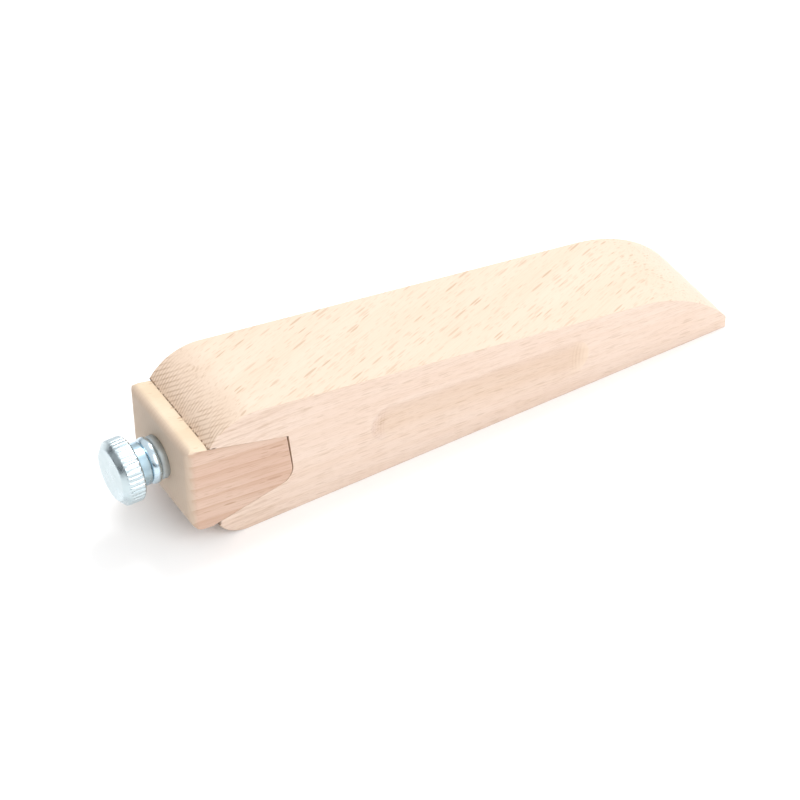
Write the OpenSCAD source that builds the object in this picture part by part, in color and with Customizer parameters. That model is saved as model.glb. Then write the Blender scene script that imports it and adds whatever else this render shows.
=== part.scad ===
// Hand sanding block with a wedge clamp and a knurled thumbscrew.
// +X points to the nose, +Y across, +Z up. The sole lies on Z = 0.

/* [Body] */
// Length of the wooden body, rear plane to nose
body_l = 182; // [150:1:220]
// Width of the body and of the clamping wedge
body_w = 36; // [24:0.5:60]
// Height of the top face carried back to the rear plane
top_h = 46.2; // [36:0.1:56]
// Fall of the top face towards the nose, degrees
top_fall = 8.7; // [6:0.1:10]
// Height of the upright face at the nose
nose_h = 4.2; // [2:0.1:8]
// Radius of the curve that runs down to the nose
nose_r = 54; // [40:1:70]
// Radius of the rounded rear end of the top
rear_r = 17; // [10:0.5:20]
// Radius of the rounded lip under the wedge
lip_r = 11; // [8:0.5:14]

/* [Pocket] */
// Height of the pocket roof at the rear plane
roof_h = 36.45; // [32:0.05:38]
// Rise of the pocket roof towards the rear, degrees
roof_rise = 15.6; // [10:0.1:18]
// Height of the pocket floor at the rear plane
floor_h = 6.7; // [5:0.05:9]
// Fall of the pocket floor towards the rear, degrees
floor_fall = 12.8; // [8:0.1:16]
// Depth of the pocket at its roof
pocket_d = 25.45; // [20:0.05:32]
// Lean of the pocket's inner wall, degrees
wall_lean = 5; // [0:0.5:8]
// Radius of the pocket's lower inner corner
pocket_r = 5; // [1:0.5:5]

/* [Finger grooves] */
// Length of the groove in each side
groove_l = 77; // [50:1:100]
// Width of the groove
groove_w = 13; // [8:0.5:18]
// Depth of the groove
groove_d = 1.3; // [0.5:0.1:3]
// Position of the groove's middle along the body
groove_x = 0.4; // [-20:0.1:20]
// Height of the groove's middle
groove_z = 16; // [12:0.5:20]
// Fall of the groove towards the nose, degrees
groove_fall = 4.6; // [0:0.1:12]

/* [Wedge] */
// How far the wedge stands out behind the body
wedge_proud = 7.3; // [2:0.1:10]
// Clearance on the two tapered faces
taper_gap = 0.15; // [0.1:0.05:0.6]
// Clearance at the wedge's inner end
end_gap = 0.5; // [0.4:0.1:2]
// Rounding of the wedge's upper outer edge
wedge_top_r = 2.5; // [0.5:0.1:3]
// Rounding of the wedge's lower outer edge
wedge_low_r = 5.5; // [1:0.1:7]
// Rounding of the wedge's upright outer edges
wedge_side_r = 2.8; // [0.5:0.1:4]

/* [Thumbscrew] */
// Height of the screw's axis above the sole
axis_z = 23.5; // [20:0.1:26]
// Diameter over the knurled head
head_d = 19.9; // [16:0.1:24]
// Thickness of the head
head_t = 6.8; // [4:0.1:9]
// Diameter of the head's flat end face
head_flat_d = 15.8; // [12:0.1:18]
// Depth of the chamfer between the end face and the knurl
head_bevel = 1.6; // [0.5:0.1:2.5]
// Number of grooves round the head
knurl_n = 36; // [28:1:48]
// Depth of the knurl
knurl_d = 0.3; // [0.2:0.05:0.7]
// Diameter of the boss under the head
boss_d = 13.2; // [9:0.1:15]
// Length of the boss
boss_t = 3.7; // [2:0.1:6]
// Diameter of the collar
collar_d = 14.2; // [11:0.1:16]
// Thickness of the collar
collar_t = 2.8; // [2:0.1:5]
// Diameter of the washer
washer_d = 13.4; // [13:0.1:18]
// Thickness of the washer
washer_t = 2.6; // [0.6:0.1:3.5]
// Thread diameter of the shank
shank_d = 6; // [5:0.5:8]
// Length of the shank under the boss
shank_l = 56.6; // [48:0.1:62]

/* [Threaded insert] */
// Diameter of the insert
insert_d = 10; // [8:0.5:12]
// Length of the insert
insert_l = 15; // [10:0.5:20]

/* [Hidden] */
eps = 0.01;
// Each fillet's circle crosses its two edges by this much, so that the
// edges meet the arc at a true corner
lap = 0.02;
$fn = 120;

// Ends of the body, and the outer faces of the parts on the screw
rear_x = -body_l / 2;
nose_x = body_l / 2;
face_x = rear_x - wedge_proud;
washer_x = face_x - washer_t;
collar_x = washer_x - collar_t;
boss_x = collar_x - boss_t;
shank_end_x = collar_x + shank_l;

// Lines of the top, the pocket roof and the pocket floor
function top_z(x) = top_h - tan(top_fall) * (x - rear_x);
function roof_z(x) = roof_h - tan(roof_rise) * (x - rear_x);
function floor_z(x) = floor_h + tan(floor_fall) * (x - rear_x);

// Inner wall of the pocket, as x against z
wall_top_x = rear_x + pocket_d;
wall_top_z = roof_z(wall_top_x);
function wall_x(z) = wall_top_x + tan(wall_lean) * (wall_top_z - z);

// Where the wall meets the floor
wall_low_z = (floor_z(wall_x(0)))
    / (1 + tan(floor_fall) * tan(wall_lean));
wall_low_x = wall_x(wall_low_z);

// Front of the threaded insert
insert_x = wall_x(axis_z - insert_d / 2) + 0.4;

// Centre of the nose curve, which leaves the top and ends at the nose's edge
top_n = [sin(top_fall), cos(top_fall)];
top_t = [cos(top_fall), -sin(top_fall)];
nose_drop = (top_z(nose_x) - nose_h) * cos(top_fall) + lap;
nose_run = sqrt(2 * nose_r * nose_drop - nose_drop * nose_drop);
nose_c = [nose_x, nose_h] - (nose_r - nose_drop) * top_n
    - nose_run * top_t;

// Radius of the round cutter that leaves the finger groove
groove_r = (groove_w * groove_w / 4 + groove_d * groove_d)
    / (2 * groove_d);

// The rear rounding ends on an upright line a little behind the body
rear_line_x = rear_x - 3.4;

// What a fillet of radius r takes off the convex corner c,
// between the edges that run towards a and towards b
module corner_cut(c, a, b, r) {
    u = (a - c) / norm(a - c);
    v = (b - c) / norm(b - c);
    h = acos(u * v) / 2;
    m = (u + v) / norm(u + v);
    o = c + m * ((r - lap) / sin(h));
    t = (r - lap) / tan(h);
    difference() {
        polygon([c - m * eps, c + u * t, o, c + v * t]);
        translate(o)
            circle(r = r);
    }
}

// Shape in the X-Z plane, spread over a width and centred on Y = 0
module across(w) {
    rotate([90, 0, 0])
        translate([0, 0, -w / 2])
            linear_extrude(height = w)
                children();
}

// Shape along the screw's axis, drawn from x1 towards +X
module along(x1) {
    translate([x1, 0, axis_z])
        rotate([0, 90, 0])
            children();
}

module nose_cut() {
    difference() {
        polygon([
            nose_c,
            nose_c + top_n * (nose_r + 2),
            nose_c + top_n * (nose_r + 2) + top_t * 60,
            nose_c + top_t * 60
        ]);
        translate(nose_c)
            circle(r = nose_r, $fn = 360);
    }
}

module pocket_shape() {
    low = [wall_low_x, wall_low_z];
    high = [wall_top_x, wall_top_z];
    out_x = rear_x - 8;
    difference() {
        polygon([
            [out_x, floor_z(out_x)],
            low,
            high,
            [out_x, roof_z(out_x)]
        ]);
        corner_cut(low, [out_x, floor_z(out_x)], high, pocket_r);
    }
}

module body_shape() {
    rear_top = [rear_line_x, top_z(rear_line_x)];
    rear_low = [rear_x + 0.2, 0];
    difference() {
        polygon([
            rear_low,
            [nose_x, 0],
            [nose_x, top_z(nose_x)],
            rear_top,
            [rear_line_x, axis_z],
            [rear_low.x, axis_z]
        ]);
        nose_cut();
        corner_cut(rear_top, [nose_x, top_z(nose_x)],
            [rear_line_x, axis_z], rear_r);
        corner_cut(rear_low, [nose_x, 0], [rear_low.x, axis_z], lip_r);
        pocket_shape();
    }
}

// Cutter for one finger groove, on the +Y side
module groove_cut() {
    run = groove_l - groove_w;
    translate([groove_x, body_w / 2 - groove_d + groove_r, groove_z])
        rotate([0, 90 + groove_fall, 0]) {
            cylinder(r = groove_r, h = run, center = true);
            translate([0, 0, -run / 2])
                sphere(r = groove_r);
            translate([0, 0, run / 2])
                sphere(r = groove_r);
        }
}

module grip_body() {
    color("burlywood")
        difference() {
            across(body_w)
                body_shape();
            groove_cut();
            mirror([0, 1, 0])
                groove_cut();
            along(wall_top_x - 4)
                cylinder(d = insert_d, h = insert_x + insert_l
                    - wall_top_x + 4);
            along(wall_top_x)
                cylinder(d = shank_d + 0.8, h = shank_end_x + 6
                    - wall_top_x);
        }
}

module wedge_shape() {
    gap_up = taper_gap / cos(roof_rise);
    gap_low = taper_gap / cos(floor_fall);
    top_x = wall_x(30) - end_gap;
    low_x = wall_x(13) - end_gap;
    a = [face_x, floor_z(face_x) + gap_low];
    b = [low_x, floor_z(low_x) + gap_low];
    c = [top_x, roof_z(top_x) - gap_up];
    d = [face_x, roof_z(face_x) - gap_up];
    difference() {
        polygon([a, b, c, d]);
        corner_cut(a, b, d, wedge_low_r);
        corner_cut(b, c, a, pocket_r);
        corner_cut(c, d, b, 0.6);
        corner_cut(d, a, c, wedge_top_r);
    }
}

// Plan of the wedge: the outer upright edges are rounded
module wedge_plan() {
    h = body_w / 2;
    a = [face_x, -h];
    b = [face_x, h];
    c = [wall_low_x, h];
    d = [wall_low_x, -h];
    difference() {
        polygon([a, d, c, b]);
        corner_cut(a, d, b, wedge_side_r);
        corner_cut(b, a, c, wedge_side_r);
    }
}

module clamp_wedge() {
    color("tan")
        difference() {
            intersection() {
                across(body_w)
                    wedge_shape();
                linear_extrude(height = top_h)
                    wedge_plan();
            }
            along(face_x - 1)
                cylinder(d = shank_d + 1, h = wall_low_x - face_x + 2);
        }
}

module washer() {
    color("silver")
        along(washer_x)
            rotate_extrude()
                difference() {
                    translate([shank_d / 2 + 0.3, 0])
                        square([washer_d / 2 - shank_d / 2 - 0.3,
                            washer_t]);
                    corner_cut([washer_d / 2, 0],
                        [shank_d / 2, 0], [washer_d / 2, washer_t], 0.3);
                }
}

module collar() {
    r = collar_d / 2;
    bore = shank_d / 2 + 0.3;
    color("gainsboro")
        along(collar_x)
            rotate_extrude()
                polygon([
                    [bore, 0],
                    [r - 0.7, 0],
                    [r - 0.3, 0.6],
                    [r, collar_t / 2],
                    [r, collar_t - 0.4],
                    [r - 0.3, collar_t],
                    [bore, collar_t]
                ]);
}

// Outline of the knurled head, seen along its axis
module knurl_shape() {
    r = head_d / 2;
    difference() {
        circle(d = head_d);
        for (i = [0 : knurl_n - 1])
            rotate(i * 360 / knurl_n)
                polygon([
                    [r - knurl_d, 0],
                    [r + 0.2, -knurl_d - 0.15],
                    [r + 0.2, knurl_d + 0.15]
                ]);
    }
}

module thumbscrew() {
    r = head_d / 2;
    color("lightsteelblue") {
        along(boss_x - head_t)
            intersection() {
                linear_extrude(height = head_t)
                    knurl_shape();
                rotate_extrude()
                    polygon([
                        [0, 0],
                        [head_flat_d / 2, 0],
                        [r, head_bevel],
                        [r, head_t - 0.6],
                        [r - 0.7, head_t],
                        [0, head_t]
                    ]);
            }
        along(boss_x - eps)
            rotate_extrude()
                polygon([
                    [0, 0],
                    [boss_d / 2, 0],
                    [boss_d / 2, boss_t + eps - 0.4],
                    [boss_d / 2 - 0.4, boss_t + eps],
                    [shank_d / 2, boss_t + eps],
                    [shank_d / 2, boss_t + eps + shank_l - 0.8],
                    [shank_d / 2 - 0.8, boss_t + eps + shank_l],
                    [0, boss_t + eps + shank_l]
                ]);
    }
}

module threaded_insert() {
    color("goldenrod")
        along(insert_x)
            difference() {
                cylinder(d = insert_d, h = insert_l);
                translate([0, 0, -1])
                    cylinder(d = shank_d + 0.1, h = insert_l + 2);
            }
}

grip_body();
clamp_wedge();
thumbscrew();
collar();
washer();
threaded_insert();
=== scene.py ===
"""Looks of a beech sanding block: wedge-shaped body, clamping wedge and knurled zinc thumbscrew."""

import math

import bmesh
import bpy
from bpy.props import FloatProperty, FloatVectorProperty, IntProperty, PointerProperty
from mathutils import Matrix, Vector


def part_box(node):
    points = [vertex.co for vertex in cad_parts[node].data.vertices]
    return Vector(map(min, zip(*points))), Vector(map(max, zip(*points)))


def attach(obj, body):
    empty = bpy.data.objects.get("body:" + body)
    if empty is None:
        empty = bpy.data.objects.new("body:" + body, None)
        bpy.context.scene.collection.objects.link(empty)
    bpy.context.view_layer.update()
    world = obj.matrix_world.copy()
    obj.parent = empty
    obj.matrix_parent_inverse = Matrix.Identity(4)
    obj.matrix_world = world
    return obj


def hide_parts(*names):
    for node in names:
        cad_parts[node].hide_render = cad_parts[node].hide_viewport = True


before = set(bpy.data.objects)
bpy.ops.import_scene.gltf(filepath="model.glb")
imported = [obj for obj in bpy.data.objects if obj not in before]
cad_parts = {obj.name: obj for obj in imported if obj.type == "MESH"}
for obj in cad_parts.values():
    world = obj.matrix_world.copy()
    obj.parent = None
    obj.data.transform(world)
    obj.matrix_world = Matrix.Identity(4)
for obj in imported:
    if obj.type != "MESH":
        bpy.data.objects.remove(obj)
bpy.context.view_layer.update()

bl_info = {
    "name": "Beech Sanding Block",
    "version": (1, 0, 0),
    "blender": (4, 5, 0),
    "location": "View3D > Sidebar > Sanding Block",
    "description": "Builds a wooden sanding block with a wedge clamp and a knurled thumbscrew",
    "category": "Object",
}

MM = 0.001
# Points closer than this are one
TINY = 0.001 * MM
# A wave texture of this scale has one band for each unit of its coordinates
WAVE_PER_UNIT = 0.314
# Makes a map range soft at both ends
SMOOTH = {"interpolation_type": "SMOOTHSTEP"}

# Places and outer sizes come from the frame's boxes, in metres
BODY_LOW, BODY_HIGH = (Vector(c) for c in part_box("grip_body"))
WEDGE_LOW = Vector(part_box("clamp_wedge")[0])
SCREW_LOW, SCREW_HIGH = (Vector(c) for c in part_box("thumbscrew"))
COLLAR_LOW, COLLAR_HIGH = (Vector(c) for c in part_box("collar"))
WASHER_LOW, WASHER_HIGH = (Vector(c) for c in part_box("washer"))
INSERT_HIGH = Vector(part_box("threaded_insert")[1])
HALF_WIDTH = BODY_HIGH.y
NOSE_X = BODY_HIGH.x
AXIS_Z = (SCREW_LOW.z + SCREW_HIGH.z) / 2
HEAD_R = (SCREW_HIGH.z - SCREW_LOW.z) / 2


# ---------------------------------------------------------------- sizes and colours

def distance(name, description, millimetres):
    """A length that the user can change"""
    return FloatProperty(name=name, description=description, default=millimetres * MM, unit="LENGTH")


def angle(name, description, degrees):
    """An angle that the user can change"""
    return FloatProperty(name=name, description=description, default=math.radians(degrees), unit="ROTATION")


class BlockSizes(bpy.types.PropertyGroup):
    """Sizes of the wooden body"""
    rear_plane: distance("Rear Plane", "Place of the body's rear plane along X", -91)
    top_height: distance("Top Height", "Height of the top face carried back to the rear plane", 46.2)
    top_fall: angle("Top Fall", "Fall of the top face towards the nose", 8.7)
    nose_height: distance("Nose Height", "Height of the upright nose", 4.2)
    nose_radius: distance("Nose Radius", "Radius of the curve down to the nose", 54)
    rear_radius: distance("Rear Radius", "Radius of the rounded rear end of the top", 17)
    rear_reach: distance("Rear Reach",
                         "How far the rear rounding's upright tangent lies behind the rear plane", 3.4)
    lip_radius: distance("Lip Radius", "Radius of the lip under the wedge", 11)
    edge_round: distance("Edge Rounding", "Sanded rounding of the outer edges", 0.75)


class PocketSizes(bpy.types.PropertyGroup):
    """Sizes of the tapered pocket and of the wedge in it"""
    roof_height: distance("Roof Height", "Height of the pocket's roof at the rear plane", 36.45)
    roof_rise: angle("Roof Rise", "Rise of the roof towards the rear", 15.6)
    floor_height: distance("Floor Height", "Height of the pocket's floor at the rear plane", 6.7)
    floor_fall: angle("Floor Fall", "Fall of the floor towards the rear", 12.8)
    depth: distance("Depth", "Depth of the pocket at its roof", 25.45)
    wall_lean: angle("Wall Lean", "Lean of the pocket's inner wall", 5)
    corner_radius: distance("Corner Radius", "Radius of the pocket's lower inner corner", 5)
    taper_gap: distance("Taper Gap", "Clearance between the wedge and the pocket's roof and floor", 0.05)
    end_gap: distance("End Gap", "Clearance at the wedge's inner end", 0.6)
    low_round: distance("Lower Rounding", "Rounding of the wedge's lower outer edge", 5.5)
    top_round: distance("Upper Rounding", "Rounding of the wedge's upper outer edge", 2.5)
    side_round: distance("Side Rounding", "Rounding of the wedge's upright outer edges", 2.8)
    long_round: distance("Long Edge Rounding", "Rounding of the wedge's long edges where it stands out", 3.0)


class GrooveSizes(bpy.types.PropertyGroup):
    """Sizes of the finger groove in each side"""
    length: distance("Length", "Length of the groove", 77)
    width: distance("Width", "Width of the groove", 13)
    depth: distance("Depth", "Depth of the groove", 1.3)
    middle_x: distance("Middle X", "Place of the groove's middle along X", 0.4)
    middle_z: distance("Middle Z", "Height of the groove's middle", 16)
    fall: angle("Fall", "Fall of the groove towards the nose", 4.6)


class ScrewSizes(bpy.types.PropertyGroup):
    """Sizes of the thumbscrew's details"""
    knurl_count: IntProperty(name="Knurl Count", description="Grooves round the head",
                             default=36, min=12, max=80)
    knurl_depth: distance("Knurl Depth", "Depth of the knurl's grooves", 0.28)
    flat_radius: distance("Flat Radius", "Radius of the head's flat end face", 7.9)
    chamfer: distance("Chamfer", "Depth of the chamfer before the knurl", 1.6)
    head_thickness: distance("Head Thickness", "Thickness of the head", 6.8)
    boss_radius: distance("Boss Radius", "Radius of the boss under the head", 6.6)
    thread_radius: distance("Thread Radius", "Outer radius of the thread", 3)
    thread_pitch: distance("Thread Pitch", "Pitch of the thread", 1)


class WoodGrain(bpy.types.PropertyGroup):
    """Run of the body's grain"""
    yaw: angle("Grain Yaw", "Turn of the grain across the top face", 26)
    dip: angle("Grain Dip", "Fall of the grain towards the nose", 8.5)


class StudioSettings(bpy.types.PropertyGroup):
    """Camera and lights"""
    camera_turn: angle("Camera Turn", "Azimuth that the camera looks from", -30.75)
    camera_height: angle("Camera Elevation", "Camera's angle above the floor", 41.9)
    camera_roll: angle("Camera Roll", "Camera's roll about its own axis", -0.755)
    camera_distance: distance("Camera Distance", "Distance to the point looked at", 909)
    camera_target: FloatVectorProperty(name="Camera Target", description="Point that the camera looks at",
                                       default=(-17.46 * MM, 0, 6.77 * MM), subtype="XYZ", unit="LENGTH")
    lens: FloatProperty(name="Lens", description="Focal length in millimetres on a 36 mm sensor",
                        default=135.3)


# ---------------------------------------------------------------- small helpers

def linear(hex_code):
    """sRGB hex to linear RGBA"""
    channels = [int(hex_code[i:i + 2], 16) / 255 for i in (1, 3, 5)]
    return [c / 12.92 if c <= 0.04045 else ((c + 0.055) / 1.055) ** 2.4 for c in channels] + [1.0]


def add_node(tree, kind, inputs=(), **settings):
    """Adds a node with its settings and inputs, given in order or by name or number. An input is a value,
    a socket, or a node whose first output in use is linked. A map range's inputs are its value, the two
    ends of the range it comes from and the two ends of the range it goes to"""
    node = tree.nodes.new("ShaderNode" + kind)
    for key, value in settings.items():
        setattr(node, key, value)
    for key, value in inputs.items() if isinstance(inputs, dict) else enumerate(inputs):
        if isinstance(value, bpy.types.Node):
            value = next(output for output in value.outputs if output.enabled)
        if isinstance(value, bpy.types.NodeSocket):
            tree.links.new(value, node.inputs[key])
        else:
            node.inputs[key].default_value = value
    return node


def new_material(name):
    """An empty node material and its principled shader"""
    material = bpy.data.materials.new(name)
    material.use_nodes = True
    tree = material.node_tree
    tree.nodes.clear()
    shader = add_node(tree, "BsdfPrincipled")
    add_node(tree, "OutputMaterial", {"Surface": shader})
    return material, tree, shader


def arc(centre, radius, start, end, steps):
    """Points of an arc in the X-Z plane, angles in degrees from +X towards +Z"""
    turns = (math.radians(start + (end - start) * i / steps) for i in range(steps + 1))
    return [(centre[0] + radius * math.cos(t), centre[1] + radius * math.sin(t)) for t in turns]


def finish_piece(name, bm, body, replaced, material, sharp=30.0):
    """Turns a bmesh into a piece that rides on a body and stands for a CAD node"""
    bmesh.ops.remove_doubles(bm, verts=bm.verts, dist=0.002 * MM)
    bmesh.ops.recalc_face_normals(bm, faces=bm.faces)
    mesh = bpy.data.meshes.new(name)
    bm.to_mesh(mesh)
    bm.free()
    mesh.shade_smooth()
    mesh.set_sharp_from_angle(angle=math.radians(sharp))
    piece = bpy.data.objects.new(name, mesh)
    bpy.context.collection.objects.link(piece)
    mesh.materials.append(material)
    normals = piece.modifiers.new("flat_faces", "WEIGHTED_NORMAL")
    normals.keep_sharp = True
    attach(piece, body)
    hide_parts(replaced)
    return piece


def prism(outline, half_width):
    """A closed solid with that X-Z outline, from -half_width to +half_width"""
    bm = bmesh.new()
    ring = [bm.verts.new((x, -half_width, z)) for x, z in outline]
    face = bm.faces.new(ring)
    grown = bmesh.ops.extrude_face_region(bm, geom=[face])["geom"]
    moved = [v for v in grown if isinstance(v, bmesh.types.BMVert)]
    bmesh.ops.translate(bm, verts=moved, vec=(0, 2 * half_width, 0))
    bmesh.ops.recalc_face_normals(bm, faces=bm.faces)
    return bm


def lathe(profile, steps, first_turn=0.0):
    """A solid of revolution about the screw's axis, from (x, radius) points"""
    bm = bmesh.new()
    points = [bm.verts.new((x, 0, AXIS_Z + radius)) for x, radius in profile]
    edges = [bm.edges.new(pair) for pair in zip(points, points[1:])]
    bmesh.ops.rotate(bm, verts=points, cent=(0, 0, AXIS_Z),
                     matrix=Matrix.Rotation(first_turn, 3, "X"))
    bmesh.ops.spin(bm, geom=points + edges, cent=(0, 0, AXIS_Z), axis=(1, 0, 0),
                   angle=2 * math.pi, steps=steps, use_merge=True)
    bmesh.ops.remove_doubles(bm, verts=bm.verts, dist=TINY)
    bmesh.ops.dissolve_degenerate(bm, dist=TINY, edges=bm.edges)
    return bm


def bevel(bm, edges, width, segments):
    """Rounds edges of a bmesh"""
    bmesh.ops.bevel(bm, geom=list(edges), offset=width, offset_type="OFFSET", affect="EDGES",
                    segments=segments, profile=0.5, material=-1, clamp_overlap=True)


def combined(bm, others, operation="DIFFERENCE"):
    """Result of exact booleans of a bmesh with each of the others, which bmesh has no operator for"""
    scratch = []
    for part in [bm, *others]:
        bmesh.ops.recalc_face_normals(part, faces=part.faces)
        mesh = bpy.data.meshes.new("scratch")
        part.to_mesh(mesh)
        part.free()
        item = bpy.data.objects.new("scratch", mesh)
        bpy.context.collection.objects.link(item)
        scratch.append(item)
    for tool in scratch[1:]:
        boolean = scratch[0].modifiers.new("boolean", "BOOLEAN")
        boolean.operation = operation
        boolean.solver = "EXACT"
        boolean.object = tool
    result = bmesh.new()
    result.from_object(scratch[0], bpy.context.evaluated_depsgraph_get())
    for item in scratch:
        mesh = item.data
        bpy.data.objects.remove(item)
        bpy.data.meshes.remove(mesh)
    return result


# ---------------------------------------------------------------- outlines

def pocket_lines(sizes, pocket):
    """The pocket's roof, floor and inner wall as functions"""
    def roof(x):
        return pocket.roof_height - math.tan(pocket.roof_rise) * (x - sizes.rear_plane)

    def floor(x):
        return pocket.floor_height + math.tan(pocket.floor_fall) * (x - sizes.rear_plane)

    top = (sizes.rear_plane + pocket.depth, roof(sizes.rear_plane + pocket.depth))

    def wall(z):
        return top[0] + math.tan(pocket.wall_lean) * (top[1] - z)
    return roof, floor, wall, top


def filleted(corner, before, after, radius, steps):
    """Points of a fillet at a corner, from the side of before to the side of after"""
    corner, before, after = Vector(corner), Vector(before), Vector(after)
    u = (before - corner).normalized()
    v = (after - corner).normalized()
    half = u.angle(v) / 2
    centre = corner + (u + v).normalized() * (radius / math.sin(half))
    first = corner + u * (radius / math.tan(half)) - centre
    last = corner + v * (radius / math.tan(half)) - centre
    start = math.atan2(first.y, first.x)
    sweep = math.atan2(last.y, last.x) - start
    sweep = (sweep + math.pi) % (2 * math.pi) - math.pi
    return [tuple(centre + Vector((math.cos(start + sweep * i / steps),
                                   math.sin(start + sweep * i / steps))) * radius)
            for i in range(steps + 1)]


def meeting(line_height, points):
    """Cuts a run of points where it crosses a line given as height over x"""
    kept = []
    for here, there in zip(points, points[1:]):
        kept.append(here)
        a = here[1] - line_height(here[0])
        b = there[1] - line_height(there[0])
        if a * b < 0:
            t = a / (a - b)
            kept.append((here[0] + t * (there[0] - here[0]), here[1] + t * (there[1] - here[1])))
            return kept
    return kept + [points[-1]]


def body_outline(sizes, pocket):
    """The body's side view, anticlockwise from the nose's foot"""
    slope = math.tan(sizes.top_fall)
    normal = Vector((math.sin(sizes.top_fall), math.cos(sizes.top_fall)))
    along = Vector((math.cos(sizes.top_fall), -math.sin(sizes.top_fall)))

    def top(x):
        return sizes.top_height - slope * (x - sizes.rear_plane)

    # The nose curve leaves the top face and ends at the nose's upper edge
    drop = (top(NOSE_X) - sizes.nose_height) * math.cos(sizes.top_fall)
    run = math.sqrt(2 * sizes.nose_radius * drop - drop * drop)
    tip = Vector((NOSE_X, sizes.nose_height))
    nose_centre = tip - (sizes.nose_radius - drop) * normal - run * along
    start = math.degrees(math.atan2(tip.y - nose_centre.y, tip.x - nose_centre.x))
    nose = arc(nose_centre, sizes.nose_radius, start, math.degrees(math.atan2(normal.y, normal.x)), 28)

    roof, floor, wall, wall_top = pocket_lines(sizes, pocket)
    rear_line = sizes.rear_plane - sizes.rear_reach
    rear = filleted((rear_line, top(rear_line)), (NOSE_X, top(NOSE_X)), (rear_line, 0),
                    sizes.rear_radius, 36)
    rear = meeting(roof, rear)

    wall_foot_z = floor(wall(0)) / (1 + math.tan(pocket.floor_fall) * math.tan(pocket.wall_lean))
    wall_foot = (wall(wall_foot_z), wall_foot_z)
    lip_line = sizes.rear_plane + 0.2 * MM
    corner = filleted(wall_foot, wall_top, (lip_line, floor(lip_line)), pocket.corner_radius, 8)
    lip = filleted((lip_line, 0), (lip_line, 1), (NOSE_X, 0), sizes.lip_radius, 24)
    lip = meeting(floor, list(reversed(lip)))
    return [(NOSE_X, 0)] + nose + rear + [wall_top] + corner + list(reversed(lip))


def groove_cutter(groove, side):
    """A round-ended cutter, shaped like a shallow boat, that leaves a cove in one side"""
    radius = (groove.width ** 2 / 4 + groove.depth ** 2) / (2 * groove.depth)
    run = (groove.length - groove.width) / 2
    clear = 1 * MM
    levels = 14
    top = math.acos(1 - (groove.depth + clear) / radius)
    reach = [radius * math.sin(top * (levels - i) / levels) for i in range(levels)]
    drop = [radius * (1 - math.cos(top * (levels - i) / levels)) for i in range(levels)]
    outline = arc((run, 0), reach[0], -90, 90, 24) + arc((-run, 0), reach[0], 90, 270, 24)
    bm = bmesh.new()
    lid = bm.faces.new([bm.verts.new((x, z, drop[0] + clear)) for x, z in outline])
    grown = bmesh.ops.extrude_face_region(bm, geom=[lid])["geom"]
    floor = next(g for g in grown if isinstance(g, bmesh.types.BMFace))
    bmesh.ops.translate(bm, verts=floor.verts[:], vec=(0, 0, -clear))
    for i in range(1, levels):
        bmesh.ops.inset_region(bm, faces=[floor], thickness=reach[i - 1] - reach[i],
                               use_even_offset=True)
        bmesh.ops.translate(bm, verts=floor.verts[:], vec=(0, 0, drop[i] - drop[i - 1]))
    stand = Matrix.Rotation(math.radians(90 if side < 0 else -90), 4, "X")
    place = Matrix.Translation((groove.middle_x, side * (HALF_WIDTH - groove.depth), groove.middle_z))
    tilt = Matrix.Rotation(groove.fall, 4, "Y")
    bmesh.ops.transform(bm, matrix=place @ tilt @ stand, verts=bm.verts)
    return bm


def bore_cutter(low_x, high_x, radius):
    """A round cutter along the screw's axis"""
    return lathe([(low_x, 0), (low_x, radius), (high_x, radius), (high_x, 0)], 96)


# ---------------------------------------------------------------- beech

def grain_frame(tree, coordinates, yaw, dip, fineness=1.0):
    """Object coordinates in millimetres turned so that X runs along the grain, and the grain's direction"""
    turn = Matrix.Rotation(-dip, 3, "Y") @ Matrix.Rotation(-yaw, 3, "Z")
    turned = add_node(tree, "Mapping",
                      {"Vector": coordinates.outputs["Object"], "Rotation": turn.to_euler("XYZ"),
                       "Scale": (fineness / MM,) * 3})
    direction = turn.transposed() @ Vector((1, 0, 0))
    return turned, direction


def surface_zones(tree, coordinates, direction):
    """Where the surface lies and how it faces: upwards, sideways, or across the grain at either end"""
    normal = add_node(tree, "SeparateXYZ", [coordinates.outputs["Normal"]])
    facing = add_node(tree, "VectorMath", [coordinates.outputs["Normal"], direction],
                      operation="DOT_PRODUCT").outputs["Value"]
    tilt = add_node(tree, "Math", [normal.outputs["Y"]], operation="ABSOLUTE")
    zones = {"place": add_node(tree, "SeparateXYZ", [coordinates.outputs["Object"]])}
    for name, value, low, high in (("upward", normal.outputs["Z"], 0.25, 0.85), ("sideways", tilt, 0.5, 0.9),
                                   ("rear_end", facing, -0.2, -0.75), ("nose_end", facing, 0.3, 0.85)):
        zones[name] = add_node(tree, "MapRange", [value, low, high], **SMOOTH)
    ends = add_node(tree, "Math", [zones["rear_end"], zones["nose_end"]], operation="MAXIMUM")
    zones["along_grain"] = add_node(tree, "Math", [1.0, ends], operation="SUBTRACT")
    return zones


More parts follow.
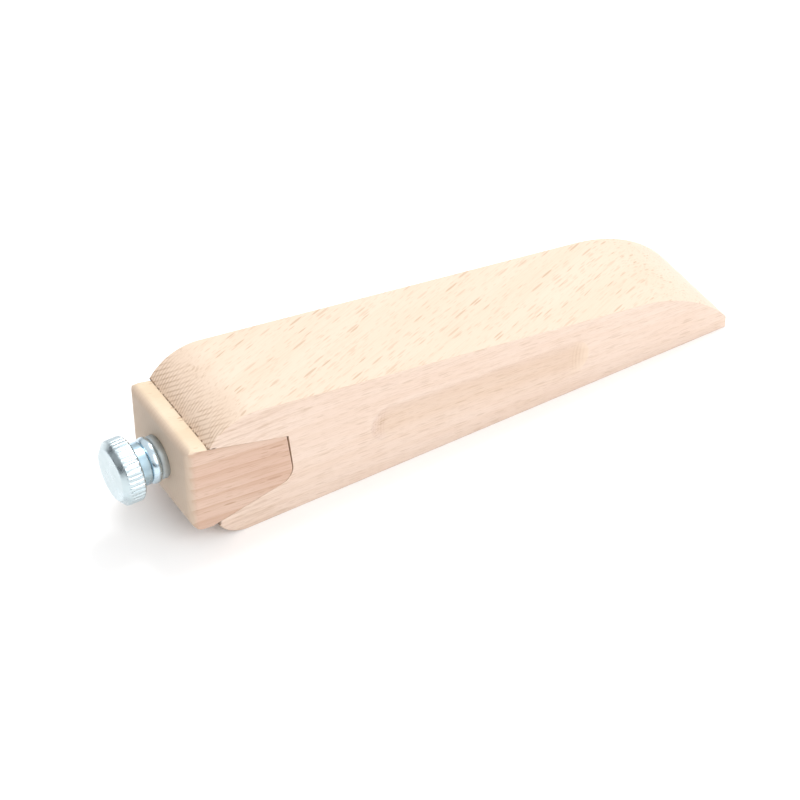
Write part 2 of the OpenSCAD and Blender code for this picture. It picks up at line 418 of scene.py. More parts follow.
def add_tone(tree, grain, zones, looks):
    """Base colour of each zone, with a slow change of tone over a few centimetres"""
    long_grain = add_node(tree, "Mapping", {"Vector": grain, "Scale": (1 / 45, 1 / 9, 1 / 9)})
    cloud = add_node(tree, "TexNoise", {"Vector": long_grain, "Scale": 1.0, "Detail": 2.0})
    tones = {}
    for zone, low, high in (("side", 0.35, 0.68), ("top", 0.3, 0.7)):
        share = add_node(tree, "MapRange", [cloud, low, high], **SMOOTH)
        tones[zone] = add_node(tree, "Mix", {0: share, 6: looks[zone], 7: looks[zone + "_deep"]},
                               data_type="RGBA")
    colour = add_node(tree, "Mix", {0: zones["upward"], 6: tones["side"], 7: tones["top"]},
                      data_type="RGBA")
    colour = add_node(tree, "Mix", {0: zones["nose_end"], 6: colour, 7: looks["nose"]}, data_type="RGBA")
    return add_node(tree, "Mix", {0: zones["rear_end"], 6: colour, 7: looks["end"]}, data_type="RGBA")


def add_rings(tree, grain, zones, colour, looks):
    """Growth rings a few millimetres apart, bent by slow noise and fainter on the top"""
    round_pith = add_node(tree, "Mapping",
                          {"Vector": grain, "Location": looks["pith"], "Scale": (0.12, 1, 1)})
    wave = add_node(tree, "TexWave",
                    {"Vector": round_pith, "Scale": WAVE_PER_UNIT / looks["ring_width"],
                     "Distortion": looks["ring_bend"], "Detail": 2.0,
                     "Detail Scale": 0.1 * looks["ring_width"]}, wave_type="RINGS", rings_direction="X",
                    wave_profile="SAW")
    ring = add_node(tree, "MapRange", [wave.outputs["Fac"], 0.35], **SMOOTH)
    strength = add_node(tree, "MapRange",
                        [zones["sideways"], 0, 1, looks["ring_top"] * looks["ring_strength"],
                         looks["ring_strength"]], **SMOOTH)
    share = add_node(tree, "Math", [ring, strength], operation="MULTIPLY")
    return add_node(tree, "Mix", {0: share, 6: colour, 7: looks["ring"]}, data_type="RGBA")


def add_flecks(tree, grain, length, width, share, offset):
    """Spindle-shaped ray flecks: share of the cells shows one, of about that length and width"""
    cell_space = add_node(tree, "Mapping",
                          {"Vector": grain, "Location": offset,
                           "Scale": (0.5 / length, 1 / (3.2 * width), 1 / (3.2 * width))})
    cells = add_node(tree, "TexVoronoi", {"Vector": cell_space, "Scale": 1.0, "Randomness": 1.0},
                     feature="F1")
    pick = add_node(tree, "SeparateColor", [cells.outputs["Color"]])
    chosen = add_node(tree, "MapRange", [pick.outputs[0], 1 - share])
    root = add_node(tree, "Math", [chosen, 0.5], operation="POWER")
    size = add_node(tree, "Math", [root, 0.46], operation="MULTIPLY")
    inside = add_node(tree, "Math", [size, cells.outputs["Distance"]], operation="SUBTRACT")
    edge = add_node(tree, "MapRange", [inside, 0, 0.16], **SMOOTH)
    depth = add_node(tree, "MapRange", [pick.outputs[1], 0, 1, 0.35])
    return add_node(tree, "Math", [edge, depth], operation="MULTIPLY")


def add_end_grain(tree, coordinates, zones, colour, looks):
    """Cross-hatched lines of the cut rays on the rear end: (turn, spacing in mm, strength) of each set.
    They are coarser and more even than real ones"""
    rear = add_node(tree, "MapRange", [zones["place"].outputs["X"], -60 * MM, -75 * MM], **SMOOTH)
    rear = add_node(tree, "Math", [rear, zones["rear_end"]], operation="MULTIPLY")
    for turn, spacing, strength in looks["end_marks"]:
        turned = add_node(tree, "Mapping",
                          {"Vector": coordinates.outputs["Object"], "Rotation": (turn, 0, 0),
                           "Scale": (1 / MM,) * 3})
        wave = add_node(tree, "TexWave",
                        {"Vector": turned, "Scale": WAVE_PER_UNIT / spacing, "Distortion": 2.6,
                         "Detail": 1.5, "Detail Scale": 0.22, "Detail Roughness": 0.6}, wave_type="BANDS",
                        bands_direction="Y")
        line = add_node(tree, "MapRange", [wave.outputs["Fac"], 0.55], **SMOOTH)
        patch = add_node(tree, "TexNoise",
                         {"Vector": coordinates.outputs["Object"], "Scale": 180 + 60 * spacing,
                          "Detail": 2.0})
        shown = add_node(tree, "MapRange", [patch, 0.3, 0.6, 0, strength], **SMOOTH)
        line = add_node(tree, "Math", [line, shown], operation="MULTIPLY")
        line = add_node(tree, "Math", [line, rear], operation="MULTIPLY")
        colour = add_node(tree, "Mix", {0: line, 6: colour, 7: looks["end_mark"]}, data_type="RGBA")
    return colour


def beech(name, looks):
    """Bare sanded beech. Its eye: warm pale wood, short brown ray flecks, faint rings, darker end grain"""
    material, tree, shader = new_material(name)
    coordinates = add_node(tree, "TexCoord")
    top_grain, direction = grain_frame(tree, coordinates, looks["yaw"], looks["dip"])
    side_grain = grain_frame(tree, coordinates, looks["side_yaw"], looks["side_dip"],
                             looks["side_fineness"])[0]
    zones = surface_zones(tree, coordinates, direction)
    # The saw cut the board at a slant, so the fibres run differently on the top and on the sides
    on_side = add_node(tree, "MapRange", [zones["sideways"], 0.49, 0.51], **SMOOTH)
    grain = add_node(tree, "Mix", {0: on_side, 4: top_grain, 5: side_grain}, data_type="VECTOR").outputs[1]
    colour = add_tone(tree, grain, zones, looks)
    colour = add_rings(tree, grain, zones, colour, looks)
    if "extra" in looks:
        colour = looks["extra"](tree, coordinates, zones["place"], colour, looks)

    # Wood fibres: long thin streaks, drawn at 0.4 mm so that they show, where real ones are about 0.1 mm
    streaks = add_node(tree, "Mapping", {"Vector": grain, "Scale": (1 / 14, 1 / 0.42, 1 / 0.42)})
    fibre = add_node(tree, "TexNoise", {"Vector": streaks, "Scale": 1.0, "Detail": 3.0, "Roughness": 0.65})
    streak = add_node(tree, "MapRange", [fibre, 0.46, 0.74], **SMOOTH)
    side_share = add_node(tree, "MapRange", [zones["sideways"], 0, 1, 0.6, 1.9], **SMOOTH)
    for factor in (zones["along_grain"], side_share):
        streak = add_node(tree, "Math", [streak, factor], operation="MULTIPLY")
    share = add_node(tree, "Math", [streak, looks["fibre_strength"]], operation="MULTIPLY")
    colour = add_node(tree, "Mix", {0: share, 6: colour, 7: looks["fleck"]}, data_type="RGBA")

    # Ray flecks in two sizes
    bold = add_flecks(tree, grain, looks["fleck_length"], looks["fleck_width"], looks["fleck_share"],
                      (3.1, 7.7, 1.3))
    fine = add_flecks(tree, grain, looks["fleck_length"] * 0.5, looks["fleck_width"] * 0.6,
                      looks["fleck_share"] * 1.6, (11.3, 2.9, 5.1))
    fine = add_node(tree, "Math", [fine, 0.55], operation="MULTIPLY")
    mark = add_node(tree, "Math", [bold, fine], operation="MAXIMUM")
    mark = add_node(tree, "Math", [mark, zones["along_grain"]], operation="MULTIPLY")
    share = add_node(tree, "Math", [mark, looks["fleck_strength"]], operation="MULTIPLY")
    colour = add_node(tree, "Mix", {0: share, 6: colour, 7: looks["fleck"]}, data_type="RGBA")
    colour = add_end_grain(tree, coordinates, zones, colour, looks)

    hollow = add_node(tree, "Math", [streak, -0.35], operation="MULTIPLY")
    hollow = add_node(tree, "Math", [mark, -0.6, hollow], operation="MULTIPLY_ADD")
    relief = add_node(tree, "Bump", {"Height": hollow, "Strength": 0.35, "Distance": 0.05 * MM})
    rough = add_node(tree, "MapRange", [fibre, 0.3, 0.7, 0.52, 0.64], **SMOOTH)
    tree.links.new(colour.outputs[2], shader.inputs["Base Color"])
    tree.links.new(relief.outputs[0], shader.inputs["Normal"])
    tree.links.new(rough.outputs[0], shader.inputs["Roughness"])
    shader.inputs["IOR"].default_value = 1.45
    return material


def body_marks(tree, coordinates, place, colour, looks):
    """Browner finger grooves with cutter marks at their ends, and torn pores along the pocket's mouth"""
    colour = add_groove_tint(tree, place, colour, looks)
    return add_torn_pores(tree, coordinates, place, colour, looks)


def add_groove_tint(tree, place, colour, looks):
    """A browner tone that fades in towards the middle of each groove, and faint cutter marks at its ends"""
    groove = bpy.context.scene.block_groove
    flat = add_node(tree, "CombineXYZ", {0: place.outputs["X"], 2: place.outputs["Z"]})
    centred = add_node(tree, "Mapping",
                       {"Vector": flat, "Location": (-groove.middle_x, 0, -groove.middle_z)})
    level = add_node(tree, "Mapping",
                     {"Vector": centred, "Rotation": (0, -groove.fall, 0), "Scale": (1 / MM,) * 3})
    spot = add_node(tree, "SeparateXYZ", [level])
    half_run = (groove.length - groove.width) / 2 / MM
    half_width = groove.width / 2 / MM
    run = add_node(tree, "Math", [spot.outputs["X"]], operation="ABSOLUTE")
    run = add_node(tree, "Math", [run, half_run], operation="SUBTRACT")
    beyond = add_node(tree, "Math", [run, 0.0], operation="MAXIMUM")
    corner = add_node(tree, "CombineXYZ", [beyond, spot.outputs["Z"]])
    reach = add_node(tree, "VectorMath", [corner], operation="LENGTH").outputs["Value"]
    inside = add_node(tree, "MapRange", [reach, half_width + 0.8, half_width - 3.8], **SMOOTH)
    outward = add_node(tree, "Math", [place.outputs["Y"]], operation="ABSOLUTE")
    sides = add_node(tree, "MapRange",
                     [outward, HALF_WIDTH - groove.depth * 1.6, HALF_WIDTH - groove.depth * 1.3], **SMOOTH)
    inside = add_node(tree, "Math", [inside, sides], operation="MULTIPLY")
    share = add_node(tree, "Math", [inside, 0.4], operation="MULTIPLY")
    colour = add_node(tree, "Mix", {0: share, 6: colour, 7: looks["groove"]}, data_type="RGBA")
    chatter = add_node(tree, "TexWave",
                       {"Vector": level, "Scale": WAVE_PER_UNIT / 1.1, "Distortion": 1.2, "Detail": 1.0,
                        "Detail Scale": 0.3}, wave_type="BANDS", bands_direction="X")
    chatter = add_node(tree, "MapRange", [chatter.outputs["Fac"], 0.35, 0.95, 0, 0.14], **SMOOTH)
    at_end = add_node(tree, "MapRange", [beyond, 0.3, 2.5], **SMOOTH)
    for factor in (inside, at_end):
        chatter = add_node(tree, "Math", [chatter, factor], operation="MULTIPLY")
    return add_node(tree, "Mix", {0: chatter, 6: colour, 7: looks["end_mark"]}, data_type="RGBA")


def add_torn_pores(tree, coordinates, place, colour, looks):
    """Short dark dashes along the rear edge, from just above the pocket's roof down. The lip gets a few too"""
    pocket = bpy.context.scene.block_pocket
    rise = math.tan(pocket.roof_rise)
    roof_at_origin = pocket.roof_height + rise * bpy.context.scene.block_sizes.rear_plane
    from_roof = add_node(tree, "Math", [place.outputs["X"], rise, -roof_at_origin],
                         operation="MULTIPLY_ADD")
    above = add_node(tree, "Math", [place.outputs["Z"], from_roof], operation="ADD")
    dashes = add_node(tree, "Mapping", {"Vector": coordinates.outputs["Object"], "Scale": (400, 1500, 400)})
    pores = add_node(tree, "TexNoise", {"Vector": dashes, "Scale": 1.0, "Detail": 1.0})
    dash = 0.85
    for value, low, high in ((above, 0.55 * MM, 0.2 * MM), (pores, 0.4, 0.52),
                             (place.outputs["X"], BODY_LOW.x + 3 * MM, BODY_LOW.x + 2 * MM)):
        factor = add_node(tree, "MapRange", [value, low, high], **SMOOTH)
        dash = add_node(tree, "Math", [dash, factor], operation="MULTIPLY")
    return add_node(tree, "Mix", {0: dash, 6: colour, 7: looks["tear"]}, data_type="RGBA")


def body_looks(grain):
    """Looks of the body's wood"""
    return {
        "yaw": grain.yaw, "dip": grain.dip,
        "side_yaw": math.radians(3), "side_dip": math.radians(4), "side_fineness": 1.35,
        "top": linear("#d7c3b0"), "top_deep": linear("#d5c0ac"),
        "side": linear("#dac6ba"), "side_deep": linear("#d6bfb1"),
        # The body's rear end colour is painted light: it is lighter than the top to stand in for light falling
        # on the rear rounding, though bare end grain is darker.
        "nose": linear("#d8c9ba"), "end": linear("#e3cdb9"), "end_mark": linear("#a37c5a"),
        "ring": linear("#cdb197"), "ring_width": 5.5, "ring_bend": 5.0,
        "ring_strength": 0.16, "ring_top": 0.5,
        "pith": (0, 31, 64),
        "fleck": linear("#98744a"), "fleck_length": 4.6, "fleck_width": 0.32,
        "fleck_share": 0.62, "fleck_strength": 0.42, "fibre_strength": 0.2,
        "end_marks": ((math.radians(16), 1.0, 0.46), (math.radians(-50), 1.25, 0.42)),
        "groove": linear("#cdb198"), "tear": linear("#4a3020"),
        "extra": body_marks,
    }


def wedge_looks():
    """Looks of the wedge's wood: straighter grain, broad red-brown rings"""
    return {
        "yaw": math.radians(2), "dip": math.radians(7),
        "side_yaw": math.radians(2), "side_dip": math.radians(7), "side_fineness": 1.0,
        "top": linear("#d8c6ae"), "top_deep": linear("#d2bea4"),
        "side": linear("#d1b5a3"), "side_deep": linear("#cbab98"),
        "nose": linear("#d0b498"), "end": linear("#cdb8a4"), "end_mark": linear("#b29578"),
        "ring": linear("#b58f74"), "ring_width": 4.0, "ring_bend": 7.0,
        "ring_strength": 0.42, "ring_top": 0.1,
        "pith": (0, 26, 14),
        "fleck": linear("#98704e"), "fleck_length": 3.6, "fleck_width": 0.32,
        "fleck_share": 0.16, "fleck_strength": 0.5, "fibre_strength": 0.16,
        "end_marks": ((math.radians(10), 1.4, 0.12),),
    }


# ---------------------------------------------------------------- metals

def zinc(name, tint, roughness, marks=0.03, blue_from=None):
    """Bright barrel-plated zinc. Its eye: blue-white mirror, satin haze, bluer where it isn't handled"""
    material, tree, shader = new_material(name)
    coordinates = add_node(tree, "TexCoord")
    haze = add_node(tree, "TexNoise",
                    {"Vector": coordinates.outputs["Object"], "Scale": 380.0, "Detail": 4.0})
    haze = add_node(tree, "MapRange", [haze, 0.3, 0.75, roughness - 0.04, roughness + 0.08], **SMOOTH)
    stain = add_node(tree, "TexNoise",
                     {"Vector": coordinates.outputs["Object"], "Scale": 120.0, "Detail": 2.0})
    stain = add_node(tree, "MapRange", [stain, 0.35, 0.7, 0, 0.5], **SMOOTH)
    colour = add_node(tree, "Mix", {0: stain, 6: linear(tint), 7: linear("#d0dee6")}, data_type="RGBA")
    if blue_from is not None:
        along = add_node(tree, "SeparateXYZ", [coordinates.outputs["Object"]])
        recess = add_node(tree, "MapRange",
                          [along.outputs["X"], blue_from - 0.3 * MM, blue_from + 0.1 * MM, 0, 0.75],
                          **SMOOTH)
        colour = add_node(tree, "Mix", {0: recess, 6: colour, 7: linear("#b9dcf0")}, data_type="RGBA")
    # Turning marks: rings 0.3 mm apart round the screw's axis, coarser than real ones so that they show
    about_axis = add_node(tree, "Mapping",
                          {"Vector": coordinates.outputs["Object"], "Location": (0, 0, -AXIS_Z)})
    turned = add_node(tree, "TexWave",
                      {"Vector": about_axis, "Scale": WAVE_PER_UNIT / (0.3 * MM), "Distortion": 0.4},
                      wave_type="RINGS", rings_direction="X")
    relief = add_node(tree, "Bump",
                      {"Height": turned.outputs["Fac"], "Strength": marks, "Distance": 0.02 * MM})
    tree.links.new(colour.outputs[2], shader.inputs["Base Color"])
    tree.links.new(haze.outputs[0], shader.inputs["Roughness"])
    tree.links.new(relief.outputs[0], shader.inputs["Normal"])
    shader.inputs["Metallic"].default_value = 1.0
    return material


def brass(name):
    """Turned brass, unpolished. Its eye: warm yellow metal with a soft, uneven gloss"""
    material, tree, shader = new_material(name)
    coordinates = add_node(tree, "TexCoord")
    haze = add_node(tree, "TexNoise",
                    {"Vector": coordinates.outputs["Object"], "Scale": 250.0, "Detail": 3.0})
    colour = add_node(tree, "Mix", {0: haze, 6: linear("#c9a25a"), 7: linear("#b58b45")}, data_type="RGBA")
    rough = add_node(tree, "MapRange", [haze, 0.3, 0.7, 0.25, 0.4], **SMOOTH)
    tree.links.new(colour.outputs[2], shader.inputs["Base Color"])
    tree.links.new(rough.outputs[0], shader.inputs["Roughness"])
    shader.inputs["Metallic"].default_value = 1.0
    return material


# ---------------------------------------------------------------- operators

class BLOCK_OT_body(bpy.types.Operator):
    """Makes the wooden body with its pocket, rounded ends and finger grooves"""
    bl_idname = "block.make_body"
    bl_label = "Make Body"

    def execute(self, context):
        scene = context.scene
        sizes, pocket, groove = scene.block_sizes, scene.block_pocket, scene.block_groove
        bm = prism(body_outline(sizes, pocket), HALF_WIDTH)
        cutters = [groove_cutter(groove, 1), groove_cutter(groove, -1)]
        roof, floor, wall, wall_top = pocket_lines(sizes, pocket)
        cutters.append(bore_cutter(wall_top[0] - 4 * MM, INSERT_HIGH.x, INSERT_HIGH.z - AXIS_Z))
        cutters.append(bore_cutter(INSERT_HIGH.x - 1 * MM, SCREW_HIGH.x + 6 * MM,
                                   scene.block_screw.thread_radius + 0.4 * MM))
        bm = combined(bm, cutters)
        bmesh.ops.remove_doubles(bm, verts=bm.verts, dist=0.003 * MM)

        def in_pocket(edge):
            return all(v.co.x < wall_top[0] + 6 * MM
                       and floor(v.co.x) - 0.05 * MM < v.co.z < roof(v.co.x) + 0.05 * MM for v in edge.verts)

        def on_side(edge):
            return all(abs(abs(v.co.y) - HALF_WIDTH) < 0.002 * MM for v in edge.verts)

        def is_sharp(edge, angle):
            return len(edge.link_faces) == 2 and edge.calc_face_angle(0) > math.radians(angle)

        def goes_across(edge):
            return abs(edge.verts[0].co.y - edge.verts[1].co.y) > HALF_WIDTH

        outer = [e for e in bm.edges
                 if is_sharp(e, 14) and (on_side(e) or goes_across(e)) and not in_pocket(e)]
        bevel(bm, outer, sizes.edge_round, 3)
        inner = [e for e in bm.edges if is_sharp(e, 40) and on_side(e) and in_pocket(e)]
        bevel(bm, inner, 0.08 * MM, 2)
        finish_piece("beech_body", bm, "block", "grip_body",
                     beech("beech_sanded_body", body_looks(scene.block_grain)), sharp=35)
        return {"FINISHED"}


class BLOCK_OT_wedge(bpy.types.Operator):
    """Makes the clamping wedge"""
    bl_idname = "block.make_wedge"
    bl_label = "Make Wedge"

    def execute(self, context):
        scene = context.scene
        sizes, pocket = scene.block_sizes, scene.block_pocket
        roof, floor, wall, wall_top = pocket_lines(sizes, pocket)
        up = pocket.taper_gap / math.cos(pocket.roof_rise)
        low = pocket.taper_gap / math.cos(pocket.floor_fall)
        face_x = WEDGE_LOW.x
        # The gap at the inner end is narrower below, so the wedge sits a little askew
        near_roof, near_floor = 30 * MM, 13 * MM
        top_x = wall(near_roof) - pocket.end_gap
        low_x = wall(near_floor) - 0.4 * pocket.end_gap
        inner_low = (low_x, floor(low_x) + low)
        inner_top = (top_x, roof(top_x) - up)
        outer_low = (face_x, floor(face_x) + low)
        outer_top = (face_x, roof(face_x) - up)
        outline = filleted(outer_low, outer_top, inner_low, pocket.low_round, 14)
        outline += filleted(inner_low, outer_low, inner_top, pocket.corner_radius, 8)
        outline += filleted(inner_top, inner_low, outer_top, 0.6 * MM, 4)
        outline += filleted(outer_top, inner_top, outer_low, pocket.top_round, 10)
        bm = prism(outline, HALF_WIDTH)
        bm = combined(bm, [rounded_plan(face_x, inner_low[0] + 5 * MM, pocket.side_round)], "INTERSECT")
        bore = bore_cutter(face_x - 2 * MM, low_x + 2 * MM, scene.block_screw.thread_radius + 0.5 * MM)
        bm = combined(bm, [bore])
        round_long_edges(bm, roof, floor, up, pocket.long_round)
        bmesh.ops.remove_doubles(bm, verts=bm.verts, dist=0.003 * MM)
        corners = [e for e in bm.edges if len(e.link_faces) == 2 and e.calc_face_angle(0) > math.radians(32)
                   and max(abs(v.co.y) for v in e.verts) > HALF_WIDTH - pocket.side_round]
        bevel(bm, corners, 0.12 * MM, 2)
        finish_piece("beech_wedge", bm, "wedge", "clamp_wedge",
                     beech("beech_sanded_wedge", wedge_looks()), sharp=35)
        return {"FINISHED"}


def round_long_edges(bm, roof, floor, gap, radius):
    """Rounds the wedge's long edges, fading out at the mouth of the pocket"""
    steps = [radius * (1 - math.sin(math.radians(a))) for a in (0, 12, 24, 36, 48, 60, 72)]
    for side in (-1, 1):
        for step in steps:
            cut_along(bm, (0, side * (HALF_WIDTH - step), 0), (0, 1, 0))
    for line, turn in ((roof, -1), (floor, 1)):
        lean = Vector((line(0) - line(1), 0, 1)).normalized()
        for step in steps:
            cut_along(bm, Vector((0, 0, line(0) + turn * (step + gap))), lean)
    for vert in bm.verts:
        fade = min(1.0, max(0.0, (BODY_LOW.x + 0.2 * MM - vert.co.x) / (6 * MM)))
        reach = radius * fade
        if reach <= 0:
            continue
        inward = reach - (HALF_WIDTH - abs(vert.co.y))
        for line, turn in ((roof, -1), (floor, 1)):
            lean = Vector((line(0) - line(1), 0, 1)).normalized()
            depth = reach - turn * (vert.co.z - line(vert.co.x) - turn * gap) * lean.z
            if inward > 0 and depth > 0 and math.hypot(inward, depth) > reach:
                keep = 1 - reach / math.hypot(inward, depth)
                vert.co.y -= math.copysign(inward * keep, vert.co.y)
                vert.co += lean * turn * depth * keep


def cut_along(bm, place, normal):
    """Cuts every face of a bmesh along a plane"""
    bmesh.ops.bisect_plane(bm, geom=bm.verts[:] + bm.edges[:] + bm.faces[:], dist=TINY,
                           plane_co=place, plane_no=normal)


def rounded_plan(outer_x, inner_x, radius):
    """An upright block whose two corners at outer_x are rounded"""
    corners = ((outer_x, -HALF_WIDTH), (inner_x, -HALF_WIDTH), (inner_x, HALF_WIDTH), (outer_x, HALF_WIDTH))
    outline = filleted(corners[0], corners[3], corners[1], radius, 12) + list(corners[1:3])
    outline += filleted(corners[3], corners[2], corners[0], radius, 12)
    bm = prism(outline, 60 * MM)
    bmesh.ops.rotate(bm, verts=bm.verts, cent=(0, 0, 0), matrix=Matrix.Rotation(math.radians(90), 3, "X"))
    return bm


class BLOCK_OT_screw(bpy.types.Operator):
    """Makes the thumbscrew: knurled head, boss and threaded shank in one piece"""
    bl_idname = "block.make_screw"
    bl_label = "Make Thumbscrew"

    def execute(self, context):
        sizes = context.scene.block_screw
        core = sizes.thread_radius - 0.61 * sizes.thread_pitch
        boss_x = SCREW_LOW.x + sizes.head_thickness
        steps_per_tooth = 8
        bm = lathe(screw_profile(sizes, boss_x, core), sizes.knurl_count * steps_per_tooth)
        cut_knurl(bm, sizes, boss_x)
        add_thread(bm, COLLAR_LOW.x + 0.2 * MM, SCREW_HIGH.x - 0.9 * MM, core, sizes)
        finish_piece("thumbscrew_zinc", bm, "screw", "thumbscrew",
                     zinc("zinc_plated_turned_steel", "#c3d0d4", 0.3, blue_from=boss_x), sharp=32)
        return {"FINISHED"}


def screw_profile(sizes, boss_x, core):
    """The thumbscrew's half section as (x, radius) points, from the head's end face to the shank's tip"""
    head_x, shank_x, end_x = SCREW_LOW.x, COLLAR_LOW.x, SCREW_HIGH.x
    knurl_x = head_x + sizes.chamfer
    flat, boss = sizes.flat_radius, sizes.boss_radius
    profile = [(head_x, 0), (head_x, flat * 0.5), (head_x, flat - 0.15 * MM), (head_x + 0.04 * MM, flat)]
    chamfer_steps, knurl_steps = 6, 5
    for i in range(1, chamfer_steps + 1):
        t = i / chamfer_steps
        profile.append((head_x + 0.04 * MM + (sizes.chamfer - 0.14 * MM) * t,
                        flat + (HEAD_R - sizes.knurl_depth - flat) * t))
    profile.append((knurl_x + 0.1 * MM, HEAD_R - 0.1 * MM))
    for i in range(1, knurl_steps + 1):
        profile.append((knurl_x + 0.1 * MM + (boss_x - 0.85 * MM - knurl_x) * i / knurl_steps, HEAD_R))
    return profile + [
        (boss_x - 0.55 * MM, HEAD_R - 0.12 * MM), (boss_x - 0.3 * MM, HEAD_R - 0.4 * MM),
        (boss_x - 0.05 * MM, HEAD_R - 0.75 * MM), (boss_x, HEAD_R - 1.1 * MM),
        (boss_x, boss + 0.4 * MM), (boss_x + 0.12 * MM, boss + 0.12 * MM), (boss_x + 0.4 * MM, boss),
        (shank_x - 0.5 * MM, boss), (shank_x - 0.2 * MM, boss - 0.1 * MM), (shank_x, boss - 0.45 * MM),
        (shank_x, core), (end_x - 0.9 * MM, core), (end_x, core - 0.5 * MM), (end_x, 0)]


def cut_knurl(bm, sizes, boss_x):
    """Presses a ring of grooves into the head's rim"""
    tooth = 2 * math.pi / sizes.knurl_count
    half_groove = 0.3
    for vert in bm.verts:
        offset = Vector((vert.co.y, vert.co.z - AXIS_Z))
        radius = offset.length
        if vert.co.x > boss_x - TINY or radius < HEAD_R - 2 * MM:
            continue
        turn = math.atan2(offset.x, offset.y) / tooth
        from_groove = abs(turn - round(turn))
        depth = sizes.knurl_depth * max(0.0, 1 - from_groove / half_groove) ** 1.2
        limit = HEAD_R - depth
        if radius > limit:
            offset *= limit / radius
            vert.co.y = offset.x
            vert.co.z = AXIS_Z + offset.y


def add_thread(bm, low_x, high_x, core, sizes):
    """Adds a closed right-handed helical ridge to the shank"""
    pitch = sizes.thread_pitch
    root = core - 0.05 * MM
    section = [(low_x, root), (low_x + 0.3 * pitch, sizes.thread_radius - 0.02 * MM),
               (low_x + 0.45 * pitch, sizes.thread_radius - 0.02 * MM), (low_x + 0.78 * pitch, root)]
    verts = [bm.verts.new((x, 0, AXIS_Z + r)) for x, r in section]
    face = bm.faces.new(verts)
    turns = int((high_x - low_x) / pitch - 1)
    per_turn = 28
    bmesh.ops.spin(bm, geom=[face], cent=(0, 0, AXIS_Z), axis=(1, 0, 0), angle=2 * math.pi * turns,
                   steps=per_turn * turns, dvec=(pitch / per_turn, 0, 0), use_merge=False)


class BLOCK_OT_rings(bpy.types.Operator):
    """Makes the collar and the thick washer, and finishes the insert"""
    bl_idname = "block.make_rings"
    bl_label = "Make Collar, Washer and Insert"

    def execute(self, context):
        sizes = context.scene.block_screw
        bore = sizes.thread_radius + 0.3 * MM
        low, high = COLLAR_LOW.x, COLLAR_HIGH.x
        radius = (COLLAR_HIGH.z - COLLAR_LOW.z) / 2
        ring = [(low, bore), (low, radius - 0.95 * MM), (low + 0.1 * MM, radius - 0.7 * MM),
                (low + 0.4 * MM, radius - 0.42 * MM), (low + 0.9 * MM, radius - 0.16 * MM),
                (low + 1.5 * MM, radius), (high - 0.45 * MM, radius), (high - 0.2 * MM, radius - 0.1 * MM),
                (high, radius - 0.42 * MM), (high, bore), (low, bore)]
        finish_piece("collar_zinc", lathe(ring, 160), "wedge", "collar",
                     zinc("zinc_plated_collar", "#c3d8e4", 0.24), sharp=40)
        low, high = WASHER_LOW.x, WASHER_HIGH.x
        radius = (WASHER_HIGH.z - WASHER_LOW.z) / 2
        ring = [(low, bore), (low, radius - 0.75 * MM), (low + 0.15 * MM, radius - 0.4 * MM),
                (low + 0.55 * MM, radius - 0.1 * MM), (low + 0.9 * MM, radius),
                (high - 0.3 * MM, radius), (high, radius - 0.25 * MM),
                (high, bore), (low, bore)]
        # The washer's dark grey tint is partly painted shade for the crevice between the collar and the wood.
        # Its high roughness is the washer's own dull finish.
        finish_piece("washer_zinc", lathe(ring, 160), "wedge", "washer",
                     zinc("zinc_washer_dull_with_painted_shade", "#b0b2ae", 0.58, marks=0.0), sharp=40)
        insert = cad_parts["threaded_insert"]
        insert.data.materials.clear()
        insert.data.materials.append(brass("brass_turned_insert"))
        return {"FINISHED"}


class BLOCK_OT_stage(bpy.types.Operator):
    """Makes the floor, lights, world and camera"""
    bl_idname = "block.make_stage"
    bl_label = "Make Stage"

    def execute(self, context):
        scene = context.scene
        studio = scene.block_studio
        scene.view_settings.view_transform = "Standard"
        add_floor()
        add_world(scene)
        add_lights()
        data = bpy.data.cameras.new("camera")
        data.lens = studio.lens
        data.sensor_width = 36
        data.clip_start = 0.01
        camera = bpy.data.objects.new("camera", data)
        context.collection.objects.link(camera)
        turn, lift = studio.camera_turn, studio.camera_height
        back = Vector((math.sin(turn) * math.cos(lift), -math.cos(turn) * math.cos(lift), math.sin(lift)))
        camera.location = Vector(studio.camera_target) + back * studio.camera_distance
        aim = (-back).to_track_quat("-Z", "Y").to_matrix()
        camera.rotation_euler = (aim @ Matrix.Rotation(studio.camera_roll, 3, "Z")).to_euler()
        scene.camera = camera
        return {"FINISHED"}


def add_floor():
    """A plain white floor"""
    bm = bmesh.new()
    bmesh.ops.create_grid(bm, x_segments=1, y_segments=1, size=1.5)
    mesh = bpy.data.meshes.new("floor")
    bm.to_mesh(mesh)
    bm.free()
    floor = bpy.data.objects.new("floor", mesh)
    bpy.context.collection.objects.link(floor)
    material, tree, shader = new_material("white_paper_floor")
    shader.inputs["Base Color"].default_value = (0.95, 0.95, 0.95, 1)
    shader.inputs["Roughness"].default_value = 0.9
    shader.inputs["Specular IOR Level"].default_value = 0.1
    mesh.materials.append(material)


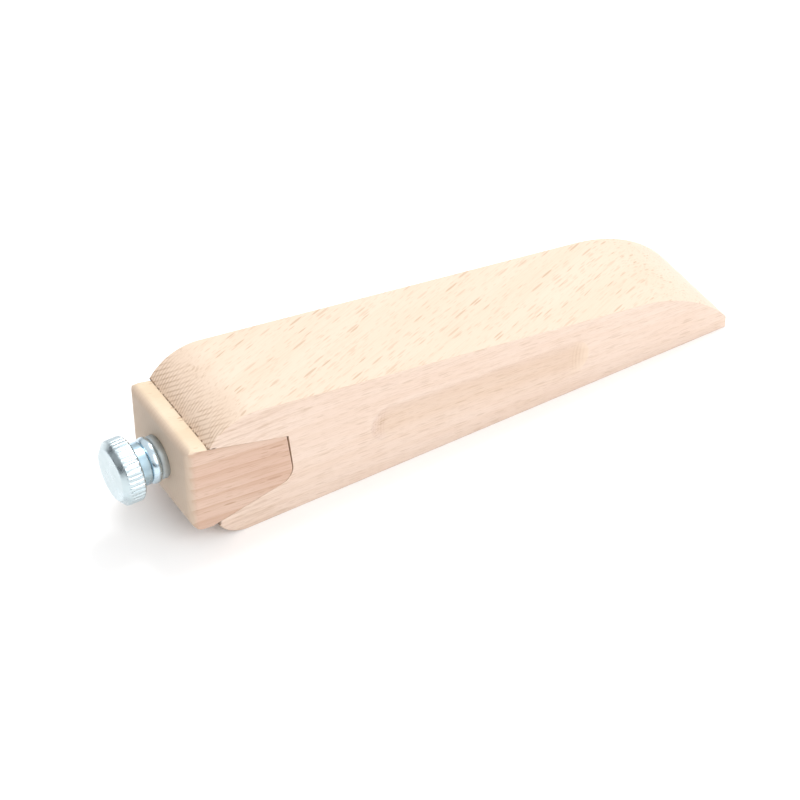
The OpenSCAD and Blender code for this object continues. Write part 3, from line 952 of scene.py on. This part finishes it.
def add_world(scene):
    """A white room with a darker band above the floor, darkest behind the block's thick end"""
    world = bpy.data.worlds.new("white_room")
    scene.world = world
    world.use_nodes = True
    tree = world.node_tree
    tree.nodes.clear()
    direction = add_node(tree, "TexCoord").outputs["Generated"]
    split = add_node(tree, "SeparateXYZ", [direction])
    ahead = add_node(tree, "MapRange", [split.outputs["X"], -0.8, 0.3], **SMOOTH)
    height = add_node(tree, "MapRange", [split.outputs["Z"], 0.16, 0.42], **SMOOTH)
    band = add_node(tree, "Mix", {0: ahead, 6: linear("#33383f"), 7: linear("#ccd2d8")}, data_type="RGBA")
    sky = add_node(tree, "Mix", {0: height, 6: band, 7: linear("#ffffff")}, data_type="RGBA")
    background = add_node(tree, "Background", {"Color": sky, "Strength": 0.965})
    add_node(tree, "OutputWorld", {"Surface": background})


def add_lights():
    """A soft key from the upper right behind the block, and a weaker fill from the front"""
    for name, place, size, power in (("key", (0.5, 0.35, 1.1), 0.5, 8.2),
                                     ("fill", (0.2, -0.95, 0.75), 1.0, 6.2)):
        data = bpy.data.lights.new(name, "AREA")
        data.shape = "DISK"
        data.size = size
        data.energy = power
        lamp = bpy.data.objects.new(name, data)
        bpy.context.collection.objects.link(lamp)
        lamp.location = place
        lamp.rotation_euler = (-Vector(place)).to_track_quat("-Z", "Y").to_euler()


class BLOCK_PT_panel(bpy.types.Panel):
    """Lists the steps that build the sanding block"""
    bl_idname = "BLOCK_PT_panel"
    bl_label = "Sanding Block"
    bl_space_type = "VIEW_3D"
    bl_region_type = "UI"
    bl_category = "Sanding Block"

    def draw(self, context):
        for operator in OPERATORS:
            self.layout.operator(operator.bl_idname)


GROUPS = {"block_sizes": BlockSizes, "block_pocket": PocketSizes, "block_groove": GrooveSizes,
          "block_screw": ScrewSizes, "block_grain": WoodGrain, "block_studio": StudioSettings}
OPERATORS = (BLOCK_OT_body, BLOCK_OT_wedge, BLOCK_OT_screw, BLOCK_OT_rings, BLOCK_OT_stage)


def register():
    for group in GROUPS.values():
        bpy.utils.register_class(group)
    for operator in OPERATORS:
        bpy.utils.register_class(operator)
    bpy.utils.register_class(BLOCK_PT_panel)
    for name, group in GROUPS.items():
        setattr(bpy.types.Scene, name, PointerProperty(type=group))


def unregister():
    for name in GROUPS:
        delattr(bpy.types.Scene, name)
    bpy.utils.unregister_class(BLOCK_PT_panel)
    for operator in reversed(OPERATORS):
        bpy.utils.unregister_class(operator)
    for group in reversed(list(GROUPS.values())):
        bpy.utils.unregister_class(group)


def main():
    register()
    bpy.ops.block.make_body()
    bpy.ops.block.make_wedge()
    bpy.ops.block.make_screw()
    bpy.ops.block.make_rings()
    bpy.ops.block.make_stage()


if __name__ == "__main__":
    main()
